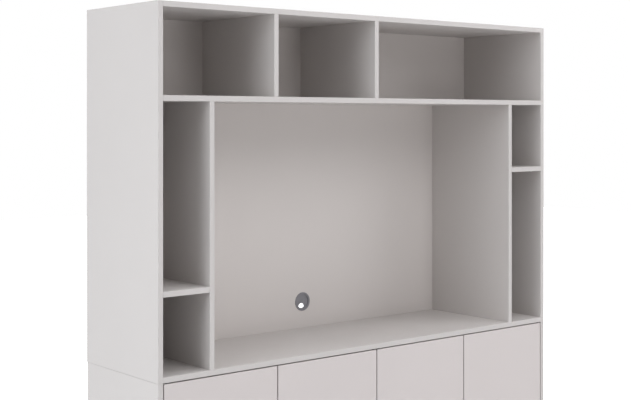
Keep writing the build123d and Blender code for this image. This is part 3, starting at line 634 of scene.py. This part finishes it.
# the pivot plates take this nearly black steel, which is painted shade for the dark gap over the
# doors
shade_painted_steel = plated_metal("shade_painted_steel", PLATE_PAINTED_SHADE, roughness=0.44)
for name, slot_name in slot_of.items():
    if name.startswith("pivot_plates"):
        give_finish(name, shade_painted_steel)
    elif slot_name in finishes:
        give_finish(name, finishes[slot_name])
print("fitting finishes:", sorted(finishes), "and shade_painted_steel")

# %% [markdown]
# ## Small metal fittings
#
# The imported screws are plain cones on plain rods. Real ones have a cross recess to drive them and a
# thread to hold them. A bump could only paint these on, and they would vanish from the side, so
# they are cut and wound here, in the order that a factory works in: turn the blank, punch the
# drive, then roll the thread. One of each kind is modelled and then copied to every place where the
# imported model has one, so that no fitting stands where none was.
#
# Some helpers come first. They select pieces and faces, find every fitting of a packed group with
# its head and the way that it points, and copy a model to each of those places. A packed group is
# one mesh of loose triangles, so a copy of it is merged and taken apart to find them.

# %% Select pieces and faces
def deselect_everything():
    """Leave edit mode and select nothing."""
    if bpy.context.object is not None and bpy.context.object.mode != "OBJECT":
        bpy.ops.object.mode_set(mode="OBJECT")
    bpy.ops.object.select_all(action="DESELECT")


def select_only(pieces):
    """Select these pieces alone, the first one active."""
    deselect_everything()
    for piece in pieces:
        piece.select_set(True)
    bpy.context.view_layer.objects.active = pieces[0]


def pick_faces(piece, test):
    """In edit mode, select only the faces whose centre passes the test."""
    bpy.ops.mesh.select_mode(type="FACE")
    bpy.ops.mesh.select_all(action="DESELECT")
    bpy.ops.object.mode_set(mode="OBJECT")
    for face in piece.data.polygons:
        face.select = test(face.center)
    bpy.ops.object.mode_set(mode="EDIT")


print("ready: deselect_everything, select_only, pick_faces")

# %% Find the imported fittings
TOUCHING = 0.02 * MM
UPRIGHT = 2


def take_apart(node_name):
    """Every solid of a packed group as a piece of its own, from a merged copy."""
    original = frame["nodes"][node_name]
    twin = original.copy()
    twin.data = original.data.copy()
    twin.parent = None
    bpy.context.scene.collection.objects.link(twin)
    select_only([twin])
    bpy.ops.object.mode_set(mode="EDIT")
    bpy.ops.mesh.select_all(action="SELECT")
    bpy.ops.mesh.remove_doubles(threshold=TOUCHING / 2)
    bpy.ops.mesh.separate(type="LOOSE")
    bpy.ops.object.mode_set(mode="OBJECT")
    return list(bpy.context.selected_objects)


def find_fittings(node_name, along=None):
    """The head's centre and the direction of every solid in a packed group.

    A fitting lies along its longest side, unless an axis is given. Its head is its wider end.
    """
    found = []
    loose = take_apart(node_name)
    for solid in loose:
        corners = [vertex.co.copy() for vertex in solid.data.vertices]
        low = Vector(min(corner[axis] for corner in corners) for axis in range(3))
        high = Vector(max(corner[axis] for corner in corners) for axis in range(3))
        length_axis = along
        if along is None:
            length_axis = max(range(3), key=lambda axis: high[axis] - low[axis])
        middle = (low + high) / 2
        ends = []
        for level, sign in ((low[length_axis], 1), (high[length_axis], -1)):
            flat = [corner for corner in corners if abs(corner[length_axis] - level) < TOUCHING]
            spread = max((corner - middle).length for corner in flat)
            ends.append((round(spread, 4), len(flat), level, sign))
        level, sign = max(ends)[2:]
        head = middle.copy()
        head[length_axis] = level
        direction = Vector((0, 0, 0))
        direction[length_axis] = sign
        found.append((head, direction))
    for solid in loose:
        bpy.data.objects.remove(solid)
    print(node_name, len(found), "fittings, the first at", rounded(found[0][0]))
    return found


print("ready: take_apart, find_fittings")

# %% Copy a fitting to its places
DRIVEN_TURN = 47.0
SHARP_DEGREES = 32


def square_to(direction, turn=0.0):
    """A direction square to a fitting's own, turned about it by this many degrees."""
    square = Vector((0, 1, 0)) if direction.x else Vector((1, 0, 0))
    return Quaternion(direction, math.radians(turn)) @ square


def driven_places(node_name):
    """The places of a group of screws, each turned a little further than the last."""
    return [(head, direction, square_to(direction, DRIVEN_TURN * number))
            for number, (head, direction) in enumerate(find_fittings(node_name))]


def copy_to_places(model, places, name, node_name):
    """Copy a fitting to every place of a packed group, as one piece that stands for it.

    A place is the head's centre, the way that the fitting points, and where its X side goes.
    """
    copies = []
    for head, direction, sideways in places:
        made = model.copy()
        made.data = model.data.copy()
        bpy.context.scene.collection.objects.link(made)
        upward = -direction
        sides = Matrix((sideways, upward.cross(sideways), upward))
        made.rotation_euler = sides.transposed().to_euler()
        made.location = head
        copies.append(made)
    select_only(copies)
    bpy.ops.object.transform_apply(location=True, rotation=True, scale=True)
    bpy.ops.object.join()
    piece = bpy.context.object
    piece.name = name
    bpy.ops.object.shade_smooth_by_angle(angle=math.radians(SHARP_DEGREES))
    piece.data.materials.clear()
    piece.data.materials.append(finishes[slot_of[node_name]])
    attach(piece, "root")
    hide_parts(node_name)
    print(name, "has", len(piece.data.polygons), "faces for", len(copies), "fittings")


print("ready: square_to, driven_places, copy_to_places")

# %% [markdown]
# ### One turned blank, one thread, one drive
#
# A blank starts as a filled circle, the head's face. Each step of its profile is one extrusion
# followed by one resize. A thread is a three-sided ridge that the screw modifier winds round the
# axis, with its two ends filled. A cross recess starts as a three by three grid without its corner
# faces, which is extruded and narrowed, and is then cut out of the head.

# %% Turn a blank
BLANK_SIDES = 32


def extrude_down(depth):
    """Extrude what is selected down by this many millimetres."""
    bpy.ops.mesh.extrude_region_move(TRANSFORM_OT_translate={"value": (0, 0, -depth * MM)})


def turn_blank(profile):
    """Turn a blank down from z 0. The profile is (depth, radius) steps in millimetres."""
    deselect_everything()
    depth, radius = profile[0]
    bpy.ops.mesh.primitive_circle_add(vertices=BLANK_SIDES, radius=radius * MM, fill_type="NGON",
                                      location=(0, 0, -depth * MM))
    blank = bpy.context.object
    bpy.ops.object.transform_apply(location=True, rotation=False, scale=False)
    bpy.ops.object.mode_set(mode="EDIT")
    bpy.ops.mesh.select_mode(type="FACE")
    bpy.ops.mesh.select_all(action="SELECT")
    for next_depth, next_radius in profile[1:]:
        extrude_down(next_depth - depth)
        share = next_radius / radius
        bpy.ops.transform.resize(value=(share, share, 1))
        depth, radius = next_depth, next_radius
    bpy.ops.mesh.select_all(action="SELECT")
    bpy.ops.mesh.normals_make_consistent(inside=False)
    bpy.ops.object.mode_set(mode="OBJECT")
    return blank


print("ready: extrude_down and turn_blank, with", BLANK_SIDES, "sides")

# %% Wind a thread
THREAD_STEPS = 18
RIDGE_SIDES = 3
RIDGE_SUNK = 0.1
TRIANGLE_HEIGHT = 1.5
SAME_POINT = 0.001 * MM


def wind_thread(blank, root, crest, pitch, start, turns):
    """Wind a ridge round a blank, and join the two.

    A triangle in a circle is half as tall again as the circle's radius, and the ridge's foot is
    sunk a little into the blank.
    """
    deselect_everything()
    reach = (crest - root + RIDGE_SUNK) / TRIANGLE_HEIGHT
    bpy.ops.mesh.primitive_circle_add(vertices=RIDGE_SIDES, radius=reach * MM, fill_type="NOTHING",
                                      location=((crest - reach) * MM, 0, -start * MM),
                                      rotation=(math.radians(90), math.radians(90), 0))
    ridge = bpy.context.object
    bpy.ops.object.transform_apply(location=True, rotation=True, scale=True)
    wind = ridge.modifiers.new("wind", "SCREW")
    wind.axis = "Z"
    wind.angle = math.radians(360)
    wind.screw_offset = -pitch * MM
    wind.iterations = turns
    wind.steps = THREAD_STEPS
    wind.render_steps = THREAD_STEPS
    bpy.ops.object.modifier_apply(modifier=wind.name)
    bpy.ops.object.mode_set(mode="EDIT")
    bpy.ops.mesh.select_all(action="SELECT")
    bpy.ops.mesh.remove_doubles(threshold=SAME_POINT)
    bpy.ops.mesh.fill_holes(sides=RIDGE_SIDES)
    bpy.ops.mesh.select_all(action="SELECT")
    bpy.ops.mesh.normals_make_consistent(inside=False)
    bpy.ops.object.mode_set(mode="OBJECT")
    select_only([blank, ridge])
    bpy.ops.object.join()
    return blank


print("ready: wind_thread, in", THREAD_STEPS, "steps a turn")

# %% Make a punch, and cut with it
CROSS_TAPER = 0.55


def cross_punch(width, depth, mouth):
    """A tapered cross that stands across z 0, as wide as its wings reach."""
    deselect_everything()
    bpy.ops.mesh.primitive_grid_add(x_subdivisions=3, y_subdivisions=3, size=width * MM,
                                    location=(0, 0, mouth * MM))
    punch = bpy.context.object
    bpy.ops.object.transform_apply(location=True, rotation=False, scale=False)
    bpy.ops.object.mode_set(mode="EDIT")
    half_wing = width / 3 / 2 * MM
    pick_faces(punch, lambda centre: abs(centre.x) > half_wing and abs(centre.y) > half_wing)
    bpy.ops.mesh.delete(type="FACE")
    bpy.ops.mesh.select_all(action="SELECT")
    extrude_down(depth + mouth)
    bpy.ops.transform.resize(value=(CROSS_TAPER, CROSS_TAPER, 1))
    bpy.ops.mesh.select_all(action="SELECT")
    bpy.ops.mesh.normals_make_consistent(inside=False)
    bpy.ops.object.mode_set(mode="OBJECT")
    return punch


def add_rod(sides, radius, length, place=(0, 0, 0), turn=(0, 0, 0)):
    """A rod of this many sides, with its sizes and place in millimetres and its turn in degrees."""
    deselect_everything()
    bpy.ops.mesh.primitive_cylinder_add(vertices=sides, radius=radius * MM, depth=length * MM,
                                        location=[part * MM for part in place],
                                        rotation=[math.radians(angle) for angle in turn])
    bpy.ops.object.transform_apply(location=True, rotation=True, scale=True)
    return bpy.context.object


def cut_out(piece, tool):
    """Cut a tool's shape out of a piece, and take the tool away."""
    select_only([piece])
    cut = piece.modifiers.new("cut", "BOOLEAN")
    cut.operation = "DIFFERENCE"
    cut.solver = "EXACT"
    cut.object = tool
    bpy.ops.object.modifier_apply(modifier=cut.name)
    bpy.data.objects.remove(tool)
    return piece


print("ready: cross_punch, add_rod, cut_out")

# %% [markdown]
# ### Countersunk screws
#
# Screws of one size, 3.5 mm by 13 mm, hold the pivot plates, the latches and the wall brackets.
# The punch goes in before the thread is wound, because a cut through two shells at once is harder
# to get clean. Each copy is turned a little further than the last, because no two screws stop at
# the same angle.

# %% Make the countersunk screws
SCREW_PROFILE = ((0, 3.42), (0.12, 3.5), (0.3, 3.42), (1.8, 1.7), (2.6, 1.5),
                 (3.0, 1.25), (11.4, 1.2), (13, 0.25))

countersunk = cut_out(turn_blank(SCREW_PROFILE), cross_punch(width=3.9, depth=1.5, mouth=0.4))
countersunk = wind_thread(countersunk, root=1.2, crest=1.74, pitch=1.35, start=3.1, turns=6)
for node_name in ("pivot_plate_screws", "latch_screws", "wall_bracket_screws"):
    copy_to_places(countersunk, driven_places(node_name), f"{node_name}_driven", node_name)
bpy.data.objects.remove(countersunk)

# %% [markdown]
# ### Joining screws
#
# Eight stouter screws come up through the base's top and hold the hutch down. They have a flat
# round head with a six-sided socket, because they are done up from inside the base with a key. The
# socket is a six-sided rod cut out of the head.

# %% Make the joining screws
JOINING_PROFILE = ((0, 5.4), (0.25, 5.85), (0.7, 6), (3, 6),
                   (3, 2.95), (4, 2.6), (33.5, 2.55), (35, 1.7))

joining = cut_out(turn_blank(JOINING_PROFILE), add_rod(sides=6, radius=2.31, length=4))
joining = wind_thread(joining, root=2.55, crest=2.98, pitch=2.0, start=4.8, turns=14)
copy_to_places(joining, driven_places("joining_screws"), "joining_screws_driven", "joining_screws")
bpy.data.objects.remove(joining)

# %% [markdown]
# ### Cam locks
#
# A cam lock is a cast zinc drum, open on one side for the head of its bolt. Its face is dished
# inside a raised rim, has a cross recess, and carries a small raised arrow that shows which side
# the opening is on. The arrow helps whoever puts the unit together, so it points at the bolt,
# which is always on the lock's outer side. The dish is two insets of the face, one for the rim and
# one for the slope down from it.

# %% Make the cam locks
CAM_PROFILE = ((0, 7.1), (0.35, 7.5), (0.9, 7.5), (12.0, 7.5), (12.5, 7.1))
CAM_RIM = 0.9 * MM
CAM_SLOPE = 0.25 * MM
CAM_DISH = 0.45 * MM

cam = turn_blank(CAM_PROFILE)
bpy.ops.object.mode_set(mode="EDIT")
pick_faces(cam, lambda centre: centre.z > -TOUCHING / 2)
bpy.ops.mesh.inset(thickness=CAM_RIM, depth=0)
bpy.ops.mesh.inset(thickness=CAM_SLOPE, depth=-CAM_DISH)
bpy.ops.object.mode_set(mode="OBJECT")
cam = cut_out(cam, cross_punch(width=6.6, depth=4.2, mouth=0.4))
cam = cut_out(cam, add_rod(sides=24, radius=4, length=12, place=(6, 0, -9), turn=(0, 90, 0)))
arrow = add_rod(sides=3, radius=1.1, length=0.7, place=(4.9, 0, -0.45), turn=(0, 0, -90))
select_only([cam, arrow])
bpy.ops.object.join()
places = [(head, direction, Vector((math.copysign(1.0, head.x), 0, 0)))
          for head, direction in find_fittings("cam_locks", along=UPRIGHT)]
copy_to_places(cam, places, "cam_locks_cast", "cam_locks")
bpy.data.objects.remove(cam)

# %% [markdown]
# ### Shelf supports
#
# Each loose shelf lies on four supports: a round peg with a collar, and a flat pad with soft
# edges. The pad's edges are bevelled so that it doesn't bite into the shelf.

# %% Make the shelf supports
PAD_SIZE = (8, 6, 8.5)
PAD_SOFTNESS = 0.7 * MM
PEG_PROFILE = ((8.3, 2.9), (8.4, 3.0), (8.9, 3.0), (9.0, 2.9),
               (9.0, 2.5), (16.2, 2.45), (16.8, 2.2), (17, 1.6))

deselect_everything()
bpy.ops.mesh.primitive_cube_add(size=1, location=(0, 0, -PAD_SIZE[2] / 2 * MM))
support = bpy.context.object
support.scale = [side * MM for side in PAD_SIZE]
bpy.ops.object.transform_apply(location=True, rotation=True, scale=True)
bpy.ops.object.mode_set(mode="EDIT")
bpy.ops.mesh.select_all(action="SELECT")
bpy.ops.mesh.bevel(offset=PAD_SOFTNESS, segments=3, affect="EDGES")
bpy.ops.object.mode_set(mode="OBJECT")
peg = turn_blank(PEG_PROFILE)
select_only([support, peg])
bpy.ops.object.join()
places = [(head, direction, square_to(direction))
          for head, direction in find_fittings("shelf_pins")]
copy_to_places(support, places, "shelf_pins_formed", "shelf_pins")
bpy.data.objects.remove(support)

# %% [markdown]
# ## The white dome
#
# The photograph has almost no shadows of its own: the open bays only darken as they get deeper.
# That is what a white dome of light does, so the world is white. Rays from the camera, from a
# mirror or through glass see it at full white, and the light that it gives is set apart from that.
# The boards are a warm grey and the light is a little cool: an open face comes out nearly neutral,
# and a deep bay, where the light goes from board to board, comes out brown, as in the photograph.

# %% Make the dome
DOME_LIGHT = 0.28
DOME_TINT = (0.972, 0.978, 1.0, 1)
WHITE = (1, 1, 1, 1)


def seen_directly(tree):
    """One for rays from the camera, a mirror or glass, and nought for those that gather light."""
    rays = tree.nodes.new("ShaderNodeLightPath").outputs
    seen = work_out(tree, "MAXIMUM", rays["Is Camera Ray"], rays["Is Glossy Ray"])
    return work_out(tree, "MAXIMUM", seen, rays["Is Transmission Ray"])


world = bpy.data.worlds.new("white_dome")
bpy.context.scene.world = world
world.use_nodes = True
dome_tree = world.node_tree
dome = dome_tree.nodes["Background"]
seen = seen_directly(dome_tree)
feed(dome_tree, blend_colour(dome_tree, seen, DOME_TINT, WHITE), dome.inputs["Color"])
feed(dome_tree, blend_number(dome_tree, seen, DOME_LIGHT, 1.0), dome.inputs["Strength"])
print("a dome that gives", DOME_LIGHT, "and shows as 1")

# %% [markdown]
# ## The paper floor
#
# The unit stands on a pale floor, which keeps its shadow and fades to white away from it, as a
# roll of paper does in a well lit studio. More light would also whiten the floor, but it would
# bleach the unit too. So the floor glows, and only for the rays that see it directly.

# %% Lay the floor
FLOOR_REACH = 12.0
FLOOR_COLOUR = (0.85, 0.85, 0.85, 1)
FLOOR_ROUGHNESS = 0.8
FLOOR_LIFT = 0.40
FADE_START = 0.25
FADE_END = 0.90

deselect_everything()
bpy.ops.mesh.primitive_plane_add(size=2 * FLOOR_REACH, location=(0, 0, 0))
floor = bpy.context.object
floor.name = "studio_floor"
floor_material, floor_tree, floor_shader, floor_place = new_material("studio_floor")
floor_shader.inputs["Base Color"].default_value = FLOOR_COLOUR
floor_shader.inputs["Roughness"].default_value = FLOOR_ROUGHNESS
floor_shader.inputs["Emission Color"].default_value = WHITE
from_middle = vector_sum(floor_tree, "ABSOLUTE", floor_place)
outside = vector_sum(floor_tree, "SUBTRACT", from_middle, tuple(packed_high))
away = how_far(floor_tree, vector_sum(floor_tree, "MAXIMUM", outside))
lift = ramp_between(floor_tree, away, FADE_START, FADE_END, FLOOR_LIFT, 1.0)
glow = work_out(floor_tree, "MULTIPLY", seen_directly(floor_tree), lift)
feed(floor_tree, glow, floor_shader.inputs["Emission Strength"])
floor.data.materials.append(floor_material)
print("a floor", 2 * FLOOR_REACH, "m wide, white from", FADE_END, "m off the unit")

# %% [markdown]
# ## The lamps
#
# Large round lamps add what the dome lacks: the outer side is a little lighter than the fronts, and
# the niche is light down to its floor while the small bays are dark. Their places were tried by
# rendering the unit under one lamp at a time, and their strengths were then chosen so that all of
# them together come near the photograph's tones. The last lamp stands behind the unit, where the
# picture doesn't see it, for the back and the right side.

# %% Hang the lamps
AIM = Vector((0, 0, 1.1))
COOL = (0.925, 0.960, 1.0)
PLAIN = (0.967, 0.973, 1.0)
# Each lamp's place and width are in metres. Its watts and its tint follow.
LAMPS = {
    "left": ((-4.2, -0.3, 1.8), 2.4, 82, COOL),
    "left_high": ((-3.4, -1.4, 3.6), 2.4, 21, COOL),
    "front_high": ((0, -3.6, 3.6), 2.4, 52, PLAIN),
    "right_high": ((3.2, -2.6, 3.2), 2.4, 52, PLAIN),
    "overhead": ((0, -0.8, 4.8), 2.4, 54, PLAIN),
    "front_low": ((0.6, -4.5, 0.5), 1.6, 37, PLAIN),
    "behind": ((2.6, 3.4, 2.2), 2.4, 60, PLAIN),
}
for name, (place, width, watts, tint) in LAMPS.items():
    lamp_data = bpy.data.lights.new(name, "AREA")
    lamp_data.shape = "DISK"
    lamp_data.size = width
    lamp_data.energy = watts
    lamp_data.color = tint
    lamp = bpy.data.objects.new(name, lamp_data)
    lamp.location = place
    lamp.rotation_euler = (AIM - Vector(place)).to_track_quat("-Z", "Y").to_euler()
    lamp.visible_camera = False
    bpy.context.scene.collection.objects.link(lamp)
print(len(LAMPS), "lamps:", ", ".join(LAMPS))
